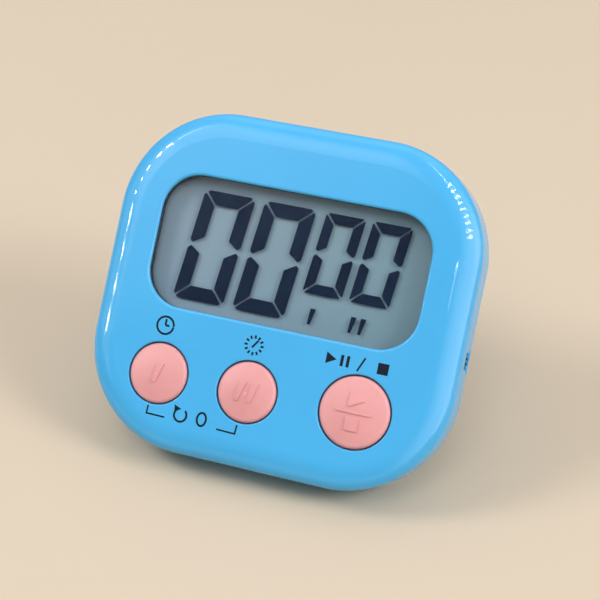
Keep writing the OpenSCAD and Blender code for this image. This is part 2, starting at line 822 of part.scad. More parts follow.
// Conical spring, its wide end on the plate
module contact_spring() {
    x1 = box_x - 0.1 - plate_t - 0.35;
    x0 = cell_x0 + cell_l + 0.4;
    turns = 4;
    per_turn = 16;
    color(steel) place() wire([for (i = [0 : turns * per_turn])
        let (s = i / (turns * per_turn), a = 360 * turns * s, r = 3.1 - 1.1 * s)
        [x1 + (x0 - x1) * s, cell_y + r * cos(a), cell_z + r * sin(a)]], 0.35, [1, 0, 0], 8);
}

module battery_door() {
    half = door_w / 2;
    color(shell_blue) place() difference() {
        union() {
            translate([-half, door_hinge[0], door_z])
                cube([door_w, door_top - door_hinge[0], door_t]);
            translate([-half, door_hinge[0], door_hinge[1]]) rotate([0, 90, 0])
                cylinder(r = door_barrel, h = door_w);
            translate([-half - 1.1, door_hinge[0], door_hinge[1]]) rotate([0, 90, 0])
                cylinder(r = door_pin, h = door_w + 2.2);
        }
        for (i = [0 : 3])
            bar(4, door_top - 2 - 1.1 * i, door_top - 1.5 - 1.1 * i, case_d - 0.35, case_d + cut);
    }
}

// ---------------------------------------------------------------- stand

// The stand folded flat in its pocket
module stand_closed() {
    low = stand_hinge[0] - stand_l;
    z0 = case_d - stand_t;
    half = stand_w / 2;
    r = 5;
    difference() {
        union() {
            translate([-half, low + r, z0]) cube([stand_w, stand_l - r, stand_t]);
            bar(half - r, low, low + r + 0.1, z0, case_d);
            for (x = [-1, 1]) disc([x * (half - r), low + r], r, z0, case_d);
            translate([-half, stand_hinge[0], stand_hinge[1]]) rotate([0, 90, 0])
                cylinder(r = stand_barrel, h = stand_w);
            translate([-half - 1.9, stand_hinge[0], stand_hinge[1]]) rotate([0, 90, 0])
                cylinder(r = stand_pin, h = stand_w + 3.8);
        }
        translate([0, stand_hinge[0] - stand_l / 2 - 0.5, 0])
            rounded_plate(stand_w - 8, stand_l - 9, 3, z0 - cut, z0 + 0.6);
        for (i = [0 : 3]) bar(6, low + 2 + 1.2 * i, low + 2.6 + 1.2 * i, case_d - 0.4, case_d + cut);
    }
}

// The stand swung open, its foot trimmed level with the floor
module stand() {
    color(shell_blue) difference() {
        place() translate([0, stand_hinge[0], stand_hinge[1]]) rotate([-stand_open, 0, 0])
            translate([0, -stand_hinge[0], -stand_hinge[1]]) stand_closed();
        translate([-50, -50, -20]) cube([100, 100, 20]);
    }
}

// ---------------------------------------------------------------- one line for each part

front_shell();
window_frame();
front_polarizer();
front_glass();
lcd_segments();
glass_seal();
rear_glass();
reflector_film();
foam_pads();
zebra_strip();
circuit_board();
controller_blob();
watch_crystal();
chip_parts();
driver_transistor();
boost_coil();
board_screws();
key_mat();
minute_button();
second_button();
start_button();
minute_pill();
second_pill();
start_pill();
switch_housing();
switch_base();
switch_terminals();
switch_knob();
rear_cover();
case_screws();
magnets();
buzzer_disc();
buzzer_ceramic();
buzzer_wires();
battery_can();
battery_cap();
flat_contact();
spring_plate();
contact_spring();
battery_wires();
battery_door();
stand();
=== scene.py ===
import json
import math

import bmesh
import bpy
from mathutils import Matrix, Vector


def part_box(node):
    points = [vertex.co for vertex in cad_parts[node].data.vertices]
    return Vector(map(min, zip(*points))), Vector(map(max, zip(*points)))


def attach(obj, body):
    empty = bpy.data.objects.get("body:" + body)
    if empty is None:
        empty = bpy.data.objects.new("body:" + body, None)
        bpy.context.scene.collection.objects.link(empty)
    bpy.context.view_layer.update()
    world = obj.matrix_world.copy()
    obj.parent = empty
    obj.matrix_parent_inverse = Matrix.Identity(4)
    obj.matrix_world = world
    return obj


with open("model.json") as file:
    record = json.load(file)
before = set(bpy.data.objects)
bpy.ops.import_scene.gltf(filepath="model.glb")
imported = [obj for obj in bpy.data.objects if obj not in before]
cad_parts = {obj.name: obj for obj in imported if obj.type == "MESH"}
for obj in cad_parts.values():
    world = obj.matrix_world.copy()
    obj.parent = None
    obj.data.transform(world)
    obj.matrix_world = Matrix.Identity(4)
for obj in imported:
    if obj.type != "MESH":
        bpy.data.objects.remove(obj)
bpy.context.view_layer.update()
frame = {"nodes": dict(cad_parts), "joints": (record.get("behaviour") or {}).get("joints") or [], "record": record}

record = frame["record"]
nodes = frame["nodes"]
joints = {j["name"]: j for j in frame["joints"]}
mounts = {m["name"]: m for m in record["mounts"]}

# ------------------------------------------------------------------ the timer's own axes
# The face leans back: X runs along its width, UP up the face and IN from the face into the case.
MM = 0.001
UP = Vector(joints["power_slide"]["axis"]).normalized()
IN = Vector(joints["minute_press"]["axis"]).normalized()
hole = mounts["hanging_hole"]
CASE_DEPTH = 16.0      # from the face to the back, in millimetres
HOLE_UP = 26.0         # how far up the face the hanging hole lies
ORIGIN = Vector(hole["pos_m"]) - UP * HOLE_UP * MM - IN * (CASE_DEPTH - hole["dims"]["length_mm"] / 2) * MM


def face(x, y, z=0.0):
    """A point given in millimetres across the face, up it and into the case."""
    return ORIGIN + (Vector((1, 0, 0)) * x + UP * y + IN * z) * MM


WINDOW = tuple(face(0, 7.4))      # middle of the window
WINDOW_HALF = (0.028, 0.013)      # half its width and half its height, in metres


# ------------------------------------------------------------------ node helpers
def new_material(name):
    m = bpy.data.materials.new(name)
    m.use_nodes = True
    nt = m.node_tree
    return m, nt, nt.nodes["Principled BSDF"]


def add(nt, kind, inputs=None, **settings):
    n = nt.nodes.new("ShaderNode" + kind)
    for key, value in settings.items():
        setattr(n, key, value)
    for key, value in (inputs or {}).items():
        if isinstance(value, bpy.types.NodeSocket):
            nt.links.new(value, n.inputs[key])
        else:
            n.inputs[key].default_value = value
    return n


def where(nt):
    return add(nt, "TexCoord").outputs["Object"]


def noise(nt, scale, detail=3.0, rough=0.5, at=None, distortion=0.0):
    """Noise from 0 to 1, with about scale lumps to the metre."""
    return add(nt, "TexNoise", {"Vector": at or where(nt), "Scale": scale, "Detail": detail,
                                "Roughness": rough, "Distortion": distortion}).outputs["Fac"]


def remap(nt, value, lo, hi, to_lo=0.0, to_hi=1.0):
    return add(nt, "MapRange", {"Value": value, "From Min": lo, "From Max": hi,
                                "To Min": to_lo, "To Max": to_hi}).outputs["Result"]


def math_node(nt, op, a, b=0.0):
    return add(nt, "Math", {0: a, 1: b}, operation=op).outputs[0]


def blend(nt, fac, a, b):
    """The colour a share fac of the way from a to b."""
    n = nt.nodes.new("ShaderNodeMix")
    n.data_type = "RGBA"
    for key, value in ((0, fac), (6, a), (7, b)):
        if isinstance(value, bpy.types.NodeSocket):
            nt.links.new(value, n.inputs[key])
        else:
            n.inputs[key].default_value = (*value, 1) if key else value
    return n.outputs[2]


def bump(nt, height, strength, distance, below=None):
    inputs = {"Height": height, "Strength": strength, "Distance": distance}
    if below is not None:
        inputs["Normal"] = below
    return add(nt, "Bump", inputs).outputs["Normal"]


def along(nt, axis, offset=(0, 0, 0)):
    """How far a point lies along an axis, in metres."""
    moved = add(nt, "VectorMath", {0: where(nt), 1: offset}, operation="SUBTRACT").outputs[0]
    return add(nt, "VectorMath", {0: moved, 1: axis}, operation="DOT_PRODUCT").outputs["Value"]


def shade(colour, k):
    return tuple(min(1.0, c * k) for c in colour)


def linear(r, g, b):
    """Linear colour of an sRGB colour given from 0 to 255."""
    return tuple((c / 255 / 12.92) if c <= 10 else ((c / 255 + 0.055) / 1.055) ** 2.4 for c in (r, g, b))


# ------------------------------------------------------------------ materials
def moulded(name, colour, rough=0.3, grain=1.0, spread=0.06, metallic=0.0, specular=0.5):
    """Moulded plastic, rubber or metal: soft colour drift, uneven gloss, a fine skin and shallow waves."""
    m, nt, bsdf = new_material(name)
    drift = noise(nt, 55, 3)
    speck = noise(nt, 9000, 2)
    tint = blend(nt, remap(nt, drift, 0.3, 0.7), shade(colour, 1 - spread), shade(colour, 1 + spread * 0.6))
    tint = blend(nt, remap(nt, speck, 0.62, 0.8, 0, 0.12), tint, shade(colour, 1.25))
    nt.links.new(tint, bsdf.inputs["Base Color"])
    smear = noise(nt, 260, 4, 0.6, distortion=0.6)
    nt.links.new(remap(nt, smear, 0.35, 0.75, rough * 0.85, rough * 1.25), bsdf.inputs["Roughness"])
    wave = bump(nt, noise(nt, 700, 2), 0.05 * grain, 0.0002)
    skin = bump(nt, speck, 0.10 * grain, 0.00003, wave)
    nt.links.new(skin, bsdf.inputs["Normal"])
    bsdf.inputs["Metallic"].default_value = metallic
    bsdf.inputs["Specular IOR Level"].default_value = specular
    return m


def shell_plastic():
    """Glossy ABS: deep even colour, a slight orange-peel skin, hairline wipe marks and a few dust specks."""
    m, nt, bsdf = new_material("shell_plastic")
    colour = (0.070, 0.435, 0.815)
    drift = noise(nt, 40, 2)
    tint = blend(nt, remap(nt, drift, 0.3, 0.7), shade(colour, 0.975), shade(colour, 1.02))
    dust_and_glints = add(nt, "TexVoronoi", {"Vector": where(nt), "Scale": 420.0}, feature="F1")
    lot = add(nt, "SeparateColor", {0: dust_and_glints.outputs["Color"]}).outputs[0]
    keep = math_node(nt, "GREATER_THAN", lot, 0.86)
    spot = math_node(nt, "LESS_THAN", dust_and_glints.outputs["Distance"], 0.022)
    spot = math_node(nt, "MULTIPLY", spot, keep)
    tint = blend(nt, math_node(nt, "MULTIPLY", spot, 0.5), tint, (0.8, 0.86, 0.9))
    nt.links.new(tint, bsdf.inputs["Base Color"])
    stretched = add(nt, "Mapping", {"Vector": where(nt), "Rotation": (0.3, 0.5, 0.7),
                                    "Scale": (60, 2600, 2600)})
    wipe = noise(nt, 1, 2, at=stretched.outputs[0])
    smear = noise(nt, 120, 3, 0.6, distortion=0.8)
    marks = remap(nt, wipe, 0.62, 0.72, 0, 0.02)
    gloss = math_node(nt, "ADD", marks, remap(nt, smear, 0.4, 0.75, 0.035, 0.065))
    nt.links.new(gloss, bsdf.inputs["Roughness"])
    peel = bump(nt, noise(nt, 900, 2), 0.022, 0.0002)
    skin = bump(nt, noise(nt, 7000, 2), 0.04, 0.00002, peel)
    nt.links.new(skin, bsdf.inputs["Normal"])
    bsdf.inputs["Specular IOR Level"].default_value = 0.26
    bsdf.inputs["Subsurface Weight"].default_value = 0.05
    bsdf.inputs["Subsurface Radius"].default_value = (0.0003, 0.0008, 0.0012)
    bsdf.inputs["Subsurface Scale"].default_value = 1.0
    return m


def button_plastic():
    """Satin pink ABS with a faint skin and fine paler specks."""
    m, nt, bsdf = new_material("button_plastic")
    colour = linear(222, 157, 158)
    tint = blend(nt, remap(nt, noise(nt, 120, 3), 0.3, 0.7), shade(colour, 0.95), shade(colour, 1.05))
    tint = blend(nt, remap(nt, noise(nt, 6000, 2), 0.6, 0.8, 0, 0.18), tint, shade(colour, 1.2))
    nt.links.new(tint, bsdf.inputs["Base Color"])
    nt.links.new(remap(nt, noise(nt, 500, 4), 0.35, 0.7, 0.34, 0.46), bsdf.inputs["Roughness"])
    peel = bump(nt, noise(nt, 1300, 2), 0.06, 0.0002)
    nt.links.new(bump(nt, noise(nt, 9000, 2), 0.12, 0.00003, peel), bsdf.inputs["Normal"])
    bsdf.inputs["Specular IOR Level"].default_value = 0.32
    bsdf.inputs["Subsurface Weight"].default_value = 0.12
    bsdf.inputs["Subsurface Radius"].default_value = (0.0015, 0.0006, 0.0005)
    bsdf.inputs["Subsurface Scale"].default_value = 1.0
    return m


def black_with_painted_glints():
    """Glossy black plastic with a fine grain and pale specks, painted highlights that stand for small glints."""
    m, nt, bsdf = new_material("black_with_painted_glints")
    cells = add(nt, "TexVoronoi", {"Vector": where(nt), "Scale": 1500.0}, feature="F1")
    lot = add(nt, "SeparateColor", {0: cells.outputs["Color"]}).outputs[0]
    spot = math_node(nt, "MULTIPLY", math_node(nt, "LESS_THAN", cells.outputs["Distance"], 0.16),
                     math_node(nt, "GREATER_THAN", lot, 0.90))
    base = blend(nt, noise(nt, 900, 3), (0.004, 0.005, 0.007), (0.014, 0.016, 0.020))
    # Painted highlights: pale specks mixed into the black stand for small glints
    dust_and_glints = math_node(nt, "MULTIPLY", spot, 0.55)
    nt.links.new(blend(nt, dust_and_glints, base, (0.5, 0.55, 0.6)), bsdf.inputs["Base Color"])
    nt.links.new(remap(nt, noise(nt, 700, 3), 0.3, 0.7, 0.12, 0.28), bsdf.inputs["Roughness"])
    nt.links.new(bump(nt, noise(nt, 5000, 2), 0.1, 0.00003), bsdf.inputs["Normal"])
    return m


def clear_layer(name, tint, rough, mirror, haze=0.0, haze_colour=(0.6, 0.6, 0.6)):
    """A thin clear sheet: it lets light through with a tint, and its outer faces mirror by Fresnel."""
    m, nt, bsdf = new_material(name)
    nt.nodes.remove(bsdf)
    out = nt.nodes["Material Output"]
    through = add(nt, "BsdfTransparent", {"Color": (*tint, 1)}).outputs[0]
    uneven = remap(nt, noise(nt, 300, 3), 0.3, 0.7, rough * 0.8, rough * 1.2)
    skin = bump(nt, noise(nt, 9000, 2), 0.08, 0.00002)
    gloss = add(nt, "BsdfGlossy", {"Roughness": uneven, "Normal": skin,
                                   "Color": (0.95, 0.97, 1.0, 1)}).outputs[0]
    fresnel = add(nt, "Fresnel", {"IOR": 1.45}).outputs[0]
    outer = math_node(nt, "SUBTRACT", 1.0, add(nt, "NewGeometry").outputs["Backfacing"])
    share = math_node(nt, "MULTIPLY", math_node(nt, "MULTIPLY", fresnel, mirror), outer)
    shader = add(nt, "MixShader", {0: share, 1: through, 2: gloss}).outputs[0]
    if haze:
        veil = add(nt, "BsdfDiffuse", {"Color": (*haze_colour, 1)}).outputs[0]
        grain = remap(nt, noise(nt, 11000, 2), 0.35, 0.65, haze * 0.6, haze * 1.4)
        shader = add(nt, "MixShader", {0: grain, 1: shader, 2: veil}).outputs[0]
    nt.links.new(shader, out.inputs["Surface"])
    return m


def reflector():
    """Reflective film: blue-grey with a fine grain. Painted sheen makes it lighter towards the left and
    lighter and warmer still at the upper left; it is darker and greener at the right."""
    m, nt, bsdf = new_material("reflector_grain_and_sheen")
    half_w, half_h = WINDOW_HALF
    right = remap(nt, along(nt, (1, 0, 0), WINDOW), -half_w, half_w)
    upward = remap(nt, along(nt, tuple(UP), WINDOW), -half_h, half_h)
    # Painted sheen: lighter at the left, darker and greener towards the right
    base = blend(nt, right, linear(134, 156, 175), linear(117, 149, 161))
    # Painted sheen: the upper left corner is lifted towards a paler, warmer grey
    painted_sheen_corner = math_node(nt, "MULTIPLY", upward, math_node(nt, "SUBTRACT", 1.0, right))
    base = blend(nt, math_node(nt, "MULTIPLY", painted_sheen_corner, 0.35), base, linear(158, 166, 174))
    grain = noise(nt, 14000, 2)
    base = blend(nt, remap(nt, grain, 0.3, 0.7, 0, 0.35), base, linear(150, 169, 184))
    nt.links.new(base, bsdf.inputs["Base Color"])
    nt.links.new(remap(nt, noise(nt, 5000, 2), 0.3, 0.7, 0.5, 0.62), bsdf.inputs["Roughness"])
    nt.links.new(bump(nt, grain, 0.12, 0.00002), bsdf.inputs["Normal"])
    bsdf.inputs["Specular IOR Level"].default_value = 0.12
    return m


def liquid_crystal():
    """Blue-black marks, a little uneven from one to the next."""
    m, nt, bsdf = new_material("liquid_crystal_dark")
    moved = add(nt, "Mapping", {"Vector": where(nt), "Location": (0.7, 0.1, 0.2)}).outputs[0]
    patch = noise(nt, 120, 2, at=moved)
    tint = blend(nt, remap(nt, patch, 0.35, 0.65), linear(5, 22, 46), linear(15, 34, 58))
    nt.links.new(tint, bsdf.inputs["Base Color"])
    nt.links.new(remap(nt, noise(nt, 4000, 2), 0.3, 0.7, 0.45, 0.6), bsdf.inputs["Roughness"])
    bsdf.inputs["Specular IOR Level"].default_value = 0.04
    return m


def ink():
    """Pad-printed black ink: a thin uneven film with a few pinholes."""
    m, nt, bsdf = new_material("printed_ink")
    tone = blend(nt, noise(nt, 3500, 3), (0.004, 0.007, 0.014), (0.012, 0.017, 0.027))
    hole_mask = remap(nt, noise(nt, 9000, 2), 0.74, 0.80)
    nt.links.new(blend(nt, hole_mask, tone, (0.04, 0.2, 0.36)), bsdf.inputs["Base Color"])
    nt.links.new(remap(nt, noise(nt, 5000, 2), 0.3, 0.7, 0.5, 0.65), bsdf.inputs["Roughness"])
    nt.links.new(bump(nt, noise(nt, 8000, 2), 0.15, 0.00002), bsdf.inputs["Normal"])
    bsdf.inputs["Specular IOR Level"].default_value = 0.08
    return m


def board_mask():
    """Green solder mask, paler and raised where copper tracks run under it in steps."""
    m, nt, bsdf = new_material("board_mask")
    cells = add(nt, "TexVoronoi", {"Vector": where(nt), "Scale": 500.0}, feature="F1", distance="MANHATTAN")
    rings = math_node(nt, "FRACT", math_node(nt, "MULTIPLY", cells.outputs["Distance"], 4.0))
    track = remap(nt, rings, 0.4, 0.5)
    nt.links.new(blend(nt, track, (0.010, 0.085, 0.030), (0.022, 0.150, 0.050)), bsdf.inputs["Base Color"])
    nt.links.new(remap(nt, noise(nt, 1500, 3), 0.3, 0.7, 0.25, 0.4), bsdf.inputs["Roughness"])
    nt.links.new(bump(nt, track, 0.3, 0.00003), bsdf.inputs["Normal"])
    return m


def brushed(name, colour, rough=0.3, axis_scale=(200, 9000, 9000)):
    """Brushed or rolled metal with fine parallel lines."""
    m, nt, bsdf = new_material(name)
    lines = noise(nt, 1, 3, at=add(nt, "Mapping", {"Vector": where(nt), "Scale": axis_scale}).outputs[0])
    stain = noise(nt, 400, 3)
    base = blend(nt, remap(nt, lines, 0.3, 0.7), shade(colour, 0.88), shade(colour, 1.08))
    base = blend(nt, remap(nt, stain, 0.55, 0.8, 0, 0.3), base, shade(colour, 0.6))
    nt.links.new(base, bsdf.inputs["Base Color"])
    nt.links.new(remap(nt, lines, 0.3, 0.7, rough * 0.8, rough * 1.3), bsdf.inputs["Roughness"])
    nt.links.new(bump(nt, lines, 0.08, 0.00003), bsdf.inputs["Normal"])
    bsdf.inputs["Metallic"].default_value = 1.0
    return m


def winding():
    """Enamelled copper wire wound round a coil."""
    m, nt, bsdf = new_material("copper_winding")
    turned = add(nt, "Mapping", {"Vector": where(nt), "Rotation": (math.atan2(IN.z, IN.y), 0, 0)}).outputs[0]
    wave = add(nt, "TexWave", {"Vector": turned, "Scale": 1200.0, "Distortion": 0.3},
               wave_type="BANDS", bands_direction="Y").outputs["Fac"]
    nt.links.new(blend(nt, wave, (0.22, 0.07, 0.02), (0.60, 0.24, 0.09)), bsdf.inputs["Base Color"])
    nt.links.new(bump(nt, wave, 0.5, 0.0001), bsdf.inputs["Normal"])
    nt.links.new(remap(nt, noise(nt, 2000, 2), 0.3, 0.7, 0.2, 0.35), bsdf.inputs["Roughness"])
    bsdf.inputs["Metallic"].default_value = 0.8
    return m


def cell_jacket():
    """Cell jacket of printed film: dark green with a brass-coloured end and a thin pale ring."""
    m, nt, bsdf = new_material("cell_jacket_film")
    lo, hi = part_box("battery_can")
    run = remap(nt, along(nt, (1, 0, 0), (lo.x, 0, 0)), 0, hi.x - lo.x)
    body = blend(nt, noise(nt, 300, 2), (0.012, 0.085, 0.045), (0.018, 0.110, 0.060))
    end = math_node(nt, "LESS_THAN", run, 0.22)
    base = blend(nt, end, body, (0.55, 0.36, 0.12))
    band = math_node(nt, "LESS_THAN", math_node(nt, "ABSOLUTE", math_node(nt, "SUBTRACT", run, 0.235)), 0.009)
    nt.links.new(blend(nt, band, base, (0.75, 0.75, 0.72)), bsdf.inputs["Base Color"])
    nt.links.new(math_node(nt, "MULTIPLY", end, 0.8), bsdf.inputs["Metallic"])
    nt.links.new(remap(nt, noise(nt, 800, 3), 0.3, 0.7, 0.18, 0.3), bsdf.inputs["Roughness"])
    return m


def layered_rubber():
    """Pink silicone with thin dark conducting layers across the strip."""
    m, nt, bsdf = new_material("zebra_layers")
    stripe = math_node(nt, "PINGPONG", along(nt, (1, 0, 0)), 0.0002)
    nt.links.new(blend(nt, remap(nt, stripe, 0.00008, 0.00012), (0.62, 0.22, 0.28), (0.03, 0.03, 0.03)),
                 bsdf.inputs["Base Color"])
    nt.links.new(remap(nt, noise(nt, 2000, 2), 0.3, 0.7, 0.5, 0.65), bsdf.inputs["Roughness"])
    return m


def foam():
    """Black open-celled foam."""
    m, nt, bsdf = new_material("black_foam")
    cells = add(nt, "TexVoronoi", {"Vector": where(nt), "Scale": 3500.0}, feature="F1").outputs["Distance"]
    nt.links.new(blend(nt, cells, (0.006, 0.006, 0.006), (0.05, 0.05, 0.05)), bsdf.inputs["Base Color"])
    nt.links.new(bump(nt, cells, 0.8, 0.0002), bsdf.inputs["Normal"])
    bsdf.inputs["Roughness"].default_value = 0.9
    return m


def wire_cover():
    """Thin red wire cover, a little uneven in tone and gloss."""
    m, nt, bsdf = new_material("wire_cover")
    soft = noise(nt, 1800, 2)
    nt.links.new(blend(nt, soft, (0.32, 0.014, 0.014), (0.42, 0.022, 0.018)), bsdf.inputs["Base Color"])
    nt.links.new(remap(nt, soft, 0.3, 0.7, 0.32, 0.45), bsdf.inputs["Roughness"])
    return m


SLOTS = {
    "shell": shell_plastic(),
    "button": button_plastic(),
    "black_plastic": black_with_painted_glints(),
    "polarizer": clear_layer("polarizer_film", (0.965, 0.975, 0.98), 0.14, 0.16, 0.004, (0.50, 0.60, 0.72)),
    "display_glass": clear_layer("display_glass", (0.995, 0.998, 0.997), 0.05, 0.06),
    "liquid_crystal": liquid_crystal(),
    "seal": moulded("epoxy_seal", (0.20, 0.23, 0.23), 0.5),
    "reflector": reflector(),
    "foam": foam(),
    "zebra": layered_rubber(),
    "board": board_mask(),
    "resin": moulded("black_resin", (0.010, 0.010, 0.011), 0.28, 1.5),
    "tin": brushed("tinned_steel", (0.60, 0.60, 0.60), 0.32),
    "nickel": brushed("nickel_plate", (0.62, 0.60, 0.55), 0.2, (9000, 300, 300)),
    "chips": moulded("chip_ceramic", (0.055, 0.045, 0.038), 0.45, 1.5),
    "copper": winding(),
    "steel": brushed("zinc_steel", (0.50, 0.51, 0.53), 0.34, (3000, 3000, 600)),
    "silicone": moulded("grey_silicone", (0.42, 0.42, 0.40), 0.6, 1.5),
    "carbon": moulded("carbon_rubber", (0.012, 0.012, 0.012), 0.7, 2.0),
    "phenolic": moulded("phenolic_board", (0.13, 0.065, 0.030), 0.5, 1.5, 0.2),
    "knob": moulded("black_nylon", (0.012, 0.012, 0.013), 0.55, 2.0, specular=0.12),
    "magnet": moulded("dark_ferrite", (0.035, 0.035, 0.038), 0.45, 2.5, 0.25, metallic=0.6),
    "brass": brushed("brass_sheet", (0.72, 0.48, 0.17), 0.28),
    "ceramic": moulded("silvered_ceramic", (0.62, 0.62, 0.58), 0.4, 1.5, metallic=0.5),
    "wire": wire_cover(),
    "cell_jacket": cell_jacket(),
}
for part in record["subparts"]:
    obj = nodes[part["node"]]
    if not obj.data.materials:
        obj.data.materials.append(None)
    for i in range(len(obj.data.materials)):
        obj.data.materials[i] = SLOTS[part["material_slot"]]

# The panes of the display touch face to face. Each draws back by a hundredth of a millimetre, so that
# a ray never meets two faces in the same place.
FACE_GAP = 0.00001
for name in ("front_polarizer", "front_glass", "lcd_segments", "rear_glass", "foam_pads", "window_frame"):
    shrink = nodes[name].modifiers.new("face_gap", "DISPLACE")
    shrink.strength = -FACE_GAP
    shrink.mid_level = 0.0

# ------------------------------------------------------------------ printed marks
INK = ink()
PROUD = -0.012       # the ink's front, in millimetres into the case, so just proud of the face
SUNK = 0.004         # its back, just inside the face


def printed(name, shapes):
    """Flat marks in one piece, lying on the face. Each shape is a convex outline in millimetres."""
    bm = bmesh.new()
    for outline in shapes:
        front = [bm.verts.new(face(x, y, PROUD)) for x, y in outline]
        back = [bm.verts.new(face(x, y, SUNK)) for x, y in outline]
        n = len(outline)
        bm.faces.new(front)
        bm.faces.new(back[::-1])
        for i in range(n):
            bm.faces.new((front[i], front[(i + 1) % n], back[(i + 1) % n], back[i])[::-1])
    bmesh.ops.recalc_face_normals(bm, faces=bm.faces)
    mesh = bpy.data.meshes.new(name)
    bm.to_mesh(mesh)
    bm.free()
    mesh.materials.append(INK)
    obj = bpy.data.objects.new(name, mesh)
    bpy.context.scene.collection.objects.link(obj)
    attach(obj, "case")


def stroke(points, width, closed=False):
    """Outlines of a line's stretches, mitred where they meet."""
    pts = [Vector(p) for p in points]
    n = len(pts)
    sides = []
    for i in range(n):
        before = pts[i - 1] if closed or i else None
        after = pts[(i + 1) % n] if closed or i < n - 1 else None
        d0 = (pts[i] - before).normalized() if before is not None else None
        d1 = (after - pts[i]).normalized() if after is not None else None
        d = ((d0 or d1) + (d1 or d0)).normalized()
        across = Vector((-d.y, d.x))
        reach = width / 2 / max(0.4, abs(d.dot(d1 or d0)))
        sides.append((pts[i] + across * reach, pts[i] - across * reach))
    quads = []
    for i in range(n if closed else n - 1):
        (left, right), (next_left, next_right) = sides[i], sides[(i + 1) % n]
        quads.append([tuple(left), tuple(right), tuple(next_right), tuple(next_left)])
    return quads


def arc(cx, cy, r, a0, a1, n):
    """Points on an arc from a0 to a1 degrees, in n steps."""
    return [(cx + r * math.cos(math.radians(a0 + (a1 - a0) * i / n)),
             cy + r * math.sin(math.radians(a0 + (a1 - a0) * i / n))) for i in range(n + 1)]


def minute_mark(cx, cy):
    """A clock with two hands."""
    ring = stroke(arc(cx, cy, 1.75, 0, 345, 36)[:-1] + [(cx + 1.75, cy - 0.1)], 0.42)
    hand = stroke([(cx, cy + 0.05), (cx, cy + 1.25)], 0.42) + stroke([(cx - 0.02, cy), (cx + 0.85, cy)], 0.42)
    return ring + hand


def second_mark(cx, cy):
    """A ring of ticks with one hand."""
    ticks = []
    for i in range(12):
        a = math.radians(30 * i)
        u = Vector((math.cos(a), math.sin(a)))
        ticks += stroke([Vector((cx, cy)) + u * 1.35, Vector((cx, cy)) + u * 2.0], 0.40)
    return ticks + stroke([(cx - 0.35, cy - 0.5), (cx + 0.72, cy + 1.05)], 0.40)


def start_mark(cx, cy):
    """Start or pause, a slash, and stop."""
    triangle = [(cx - 6.8, cy - 1.15), (cx - 6.8, cy + 1.15), (cx - 4.7, cy)]
    bars = [[(x, cy - 1.1), (x + 0.6, cy - 1.1), (x + 0.6, cy + 1.1), (x, cy + 1.1)]
            for x in (cx - 3.9, cx - 2.7)]
    slash = stroke([(cx - 0.3, cy - 1.4), (cx + 0.9, cy + 1.4)], 0.36)
    square = [(cx + 3.6, cy - 1.1), (cx + 5.8, cy - 1.1), (cx + 5.8, cy + 1.1), (cx + 3.6, cy + 1.1)]
    return [triangle] + bars + slash + [square]


def reset_mark(cx, cy):
    """An arrow bent round, and a nought."""
    ring = stroke(arc(cx - 2.5, cy, 1.3, 120, 410, 30), 0.42)
    tip = [(cx - 4.05, cy + 1.85), (cx - 3.85, cy + 0.35), (cx - 2.55, cy + 1.25)]
    nought = [(cx + 2.0 + 0.72 * (x - cx), y) for x, y in arc(cx, cy + 0.1, 1.3, 0, 350, 36)]
    return ring + [tip] + stroke(nought, 0.42, closed=True)


# Each sign stands above its button, and reset stands below the first two, between its brackets
printed("minute_print", minute_mark(-22.0, -9.9))
printed("second_print", second_mark(-3.1, -10.1))
printed("start_print", start_mark(18.5, -9.4))
printed("reset_print", reset_mark(-12.6, -26.7))
printed("reset_brackets", stroke([(-22.1, -26.1), (-22.15, -27.75), (-18.3, -27.8)], 0.34)
        + stroke([(-7.2, -27.8), (-3.3, -27.9), (-3.2, -26.1)], 0.34))

# ------------------------------------------------------------------ floor
def floor_material():
    """Pale matt paper with a faint tooth."""
    m, nt, bsdf = new_material("paper_floor")
    base = linear(205, 189, 168)
    tint = blend(nt, remap(nt, noise(nt, 6, 2), 0.3, 0.7), shade(base, 0.985), shade(base, 1.01))
    tint = blend(nt, remap(nt, noise(nt, 2600, 3), 0.4, 0.7, 0, 0.10), tint, shade(base, 0.93))
    nt.links.new(tint, bsdf.inputs["Base Color"])
    bsdf.inputs["Roughness"].default_value = 0.75
    nt.links.new(bump(nt, noise(nt, 2600, 3), 0.08, 0.0002), bsdf.inputs["Normal"])
    bsdf.inputs["Specular IOR Level"].default_value = 0.25
    return m


mesh = bpy.data.meshes.new("floor")
half = 3.0       # half of its width, in metres
mesh.from_pydata([(-half, -half, 0), (half, -half, 0), (half, half, 0), (-half, half, 0)], [], [(0, 1, 2, 3)])
mesh.materials.append(floor_material())
floor = bpy.data.objects.new("floor", mesh)
bpy.context.scene.collection.objects.link(floor)

# ------------------------------------------------------------------ light
MIDDLE = Vector((0, 0, 0.03))


def softbox(name, at, size, watts, colour=(1, 1, 1), size_y=None):
    """A flat lamp that faces the middle of the timer."""
    data = bpy.data.lights.new(name, "AREA")
    data.energy = watts
    data.color = colour
    data.size = size
    if size_y:
        data.shape = "RECTANGLE"
        data.size_y = size_y
    lamp = bpy.data.objects.new(name, data)
    lamp.location = at
    lamp.rotation_mode = "QUATERNION"
    lamp.rotation_quaternion = (MIDDLE - Vector(at)).to_track_quat("-Z", "Y")
    bpy.context.scene.collection.objects.link(lamp)
    return lamp


# The key and the two fills light the scene but don't show in the gloss. The wide dim panels only show there.
for lamp in (softbox("left_key", (-0.85, -0.30, 0.95), 0.44, 6.2, (1.0, 0.985, 0.965)),
             softbox("front_fill", (0.06, -0.62, 1.02), 0.42, 2.2, (1.0, 0.985, 0.965)),
             softbox("right_fill", (1.18, -0.20, 0.86), 0.56, 11.2, (1.0, 0.985, 0.965))):
    lamp.visible_glossy = False
for lamp in (softbox("left_panel", (-1.00, -0.62, 0.70), 0.8, 2.6, (1.0, 0.99, 0.98)),
             softbox("right_panel", (1.30, 0.10, 0.60), 1.0, 3.2, (1.0, 0.99, 0.98)),
             softbox("top_panel", (-0.1, 0.55, 1.25), 1.1, 3.6, (1.0, 0.99, 0.98))):
    lamp.visible_diffuse = False


